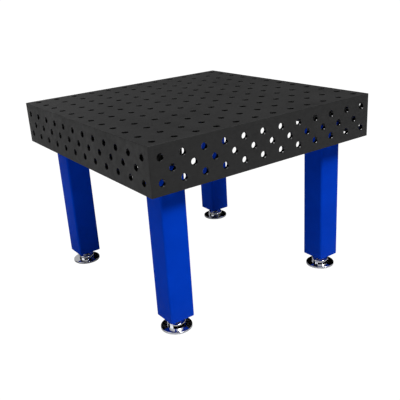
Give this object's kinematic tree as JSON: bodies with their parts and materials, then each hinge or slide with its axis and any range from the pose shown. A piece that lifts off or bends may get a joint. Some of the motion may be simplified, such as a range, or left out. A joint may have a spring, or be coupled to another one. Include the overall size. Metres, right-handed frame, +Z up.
{
  "type": "welding table",
  "caption": "Perforated steel welding table with bored top and sides, four square legs and screw-adjusted levelling feet.",
  "frame": {"origin": "on the floor under the middle of the top", "axes": "+X to the right and +Y to the back seen from the front side, +Z up"},
  "size_m": [1.2, 1.2, 0.88],
  "materials": {
    "black_steel": "dark nitrided steel, satin",
    "blue_paint": "satin powder coat",
    "chrome": "polished, turned",
    "zinc_steel": "bright zinc plated"
  },
  "bodies": {
    "table": {"top_plate": "black_steel", "front_skirt": "black_steel", "rear_skirt": "black_steel", "left_skirt": "black_steel", "right_skirt": "black_steel", "long_rib_1": "black_steel", "long_rib_2": "black_steel", "long_rib_3": "black_steel", "long_rib_4": "black_steel", "cross_rib_1": "black_steel", "cross_rib_2": "black_steel", "cross_rib_3": "black_steel", "cross_rib_4": "black_steel", "leg_bolts": "zinc_steel", "leg_bolt_washers": "zinc_steel", "leg_dowels": "zinc_steel", "front_left_leg_mount": "black_steel", "front_left_mount_plate": "black_steel", "front_left_leg_tube": "blue_paint", "front_left_leg_cap": "blue_paint", "front_left_leg_base": "blue_paint", "front_left_spindle_bush": "zinc_steel", "front_right_leg_mount": "black_steel", "front_right_mount_plate": "black_steel", "front_right_leg_tube": "blue_paint", "front_right_leg_cap": "blue_paint", "front_right_leg_base": "blue_paint", "front_right_spindle_bush": "zinc_steel", "rear_left_leg_mount": "black_steel", "rear_left_mount_plate": "black_steel", "rear_left_leg_tube": "blue_paint", "rear_left_leg_cap": "blue_paint", "rear_left_leg_base": "blue_paint", "rear_left_spindle_bush": "zinc_steel", "rear_right_leg_mount": "black_steel", "rear_right_mount_plate": "black_steel", "rear_right_leg_tube": "blue_paint", "rear_right_leg_cap": "blue_paint", "rear_right_leg_base": "blue_paint", "rear_right_spindle_bush": "zinc_steel"},
    "front_left_foot": {"front_left_foot_disc": "chrome", "front_left_ball_retainer": "chrome"},
    "front_left_spindle": {"front_left_foot_spindle": "zinc_steel"},
    "front_left_washer": {"front_left_lock_washer": "zinc_steel"},
    "front_left_nut": {"front_left_lock_nut": "zinc_steel"},
    "front_right_foot": {"front_right_foot_disc": "chrome", "front_right_ball_retainer": "chrome"},
    "front_right_spindle": {"front_right_foot_spindle": "zinc_steel"},
    "front_right_washer": {"front_right_lock_washer": "zinc_steel"},
    "front_right_nut": {"front_right_lock_nut": "zinc_steel"},
    "rear_left_foot": {"rear_left_foot_disc": "chrome", "rear_left_ball_retainer": "chrome"},
    "rear_left_spindle": {"rear_left_foot_spindle": "zinc_steel"},
    "rear_left_washer": {"rear_left_lock_washer": "zinc_steel"},
    "rear_left_nut": {"rear_left_lock_nut": "zinc_steel"},
    "rear_right_foot": {"rear_right_foot_disc": "chrome", "rear_right_ball_retainer": "chrome"},
    "rear_right_spindle": {"rear_right_foot_spindle": "zinc_steel"},
    "rear_right_washer": {"rear_right_lock_washer": "zinc_steel"},
    "rear_right_nut": {"rear_right_lock_nut": "zinc_steel"}
  },
  "joints": [
    {"name": "front_left_foot_lift", "type": "slide", "parent": "table", "child": "front_left_foot", "axis": [0, 0, -1], "range_m": [-0.007, 0.04]},
    {"name": "front_left_spindle_turn", "type": "hinge", "parent": "front_left_foot", "child": "front_left_spindle", "pos_m": [-0.45, -0.45, 0.02], "axis": [0, 0, -1], "range_deg": [-841, 4801]},
    {"name": "front_left_washer_drop", "type": "slide", "parent": "table", "child": "front_left_washer", "axis": [0, 0, -1], "range_m": [0, 0.0031]},
    {"name": "front_left_nut_turn", "type": "hinge", "parent": "front_left_washer", "child": "front_left_nut", "pos_m": [-0.45, -0.45, 0.05], "axis": [0, 0, -1], "range_deg": [0, 360]},
    {"name": "front_right_foot_lift", "type": "slide", "parent": "table", "child": "front_right_foot", "axis": [0, 0, -1], "range_m": [-0.007, 0.04]},
    {"name": "front_right_spindle_turn", "type": "hinge", "parent": "front_right_foot", "child": "front_right_spindle", "pos_m": [0.45, -0.45, 0.02], "axis": [0, 0, -1], "range_deg": [-841, 4801]},
    {"name": "front_right_washer_drop", "type": "slide", "parent": "table", "child": "front_right_washer", "axis": [0, 0, -1], "range_m": [0, 0.0031]},
    {"name": "front_right_nut_turn", "type": "hinge", "parent": "front_right_washer", "child": "front_right_nut", "pos_m": [0.45, -0.45, 0.05], "axis": [0, 0, -1], "range_deg": [0, 360]},
    {"name": "rear_left_foot_lift", "type": "slide", "parent": "table", "child": "rear_left_foot", "axis": [0, 0, -1], "range_m": [-0.007, 0.04]},
    {"name": "rear_left_spindle_turn", "type": "hinge", "parent": "rear_left_foot", "child": "rear_left_spindle", "pos_m": [-0.45, 0.45, 0.02], "axis": [0, 0, -1], "range_deg": [-841, 4801]},
    {"name": "rear_left_washer_drop", "type": "slide", "parent": "table", "child": "rear_left_washer", "axis": [0, 0, -1], "range_m": [0, 0.0031]},
    {"name": "rear_left_nut_turn", "type": "hinge", "parent": "rear_left_washer", "child": "rear_left_nut", "pos_m": [-0.45, 0.45, 0.05], "axis": [0, 0, -1], "range_deg": [0, 360]},
    {"name": "rear_right_foot_lift", "type": "slide", "parent": "table", "child": "rear_right_foot", "axis": [0, 0, -1], "range_m": [-0.007, 0.04]},
    {"name": "rear_right_spindle_turn", "type": "hinge", "parent": "rear_right_foot", "child": "rear_right_spindle", "pos_m": [0.45, 0.45, 0.02], "axis": [0, 0, -1], "range_deg": [-841, 4801]},
    {"name": "rear_right_washer_drop", "type": "slide", "parent": "table", "child": "rear_right_washer", "axis": [0, 0, -1], "range_m": [0, 0.0031]},
    {"name": "rear_right_nut_turn", "type": "hinge", "parent": "rear_right_washer", "child": "rear_right_nut", "pos_m": [0.45, 0.45, 0.05], "axis": [0, 0, -1], "range_deg": [0, 360]}
  ],
  "couplings": [
    {"joint": "front_left_spindle_turn", "follows": "front_left_foot_lift", "rad_per_m": 2094.4},
    {"joint": "front_left_washer_drop", "follows": "front_left_nut_turn", "m_per_rad": 0.00047746},
    {"joint": "front_right_spindle_turn", "follows": "front_right_foot_lift", "rad_per_m": 2094.4},
    {"joint": "front_right_washer_drop", "follows": "front_right_nut_turn", "m_per_rad": 0.00047746},
    {"joint": "rear_left_spindle_turn", "follows": "rear_left_foot_lift", "rad_per_m": 2094.4},
    {"joint": "rear_left_washer_drop", "follows": "rear_left_nut_turn", "m_per_rad": 0.00047746},
    {"joint": "rear_right_spindle_turn", "follows": "rear_right_foot_lift", "rad_per_m": 2094.4},
    {"joint": "rear_right_washer_drop", "follows": "rear_right_nut_turn", "m_per_rad": 0.00047746}
  ]
}
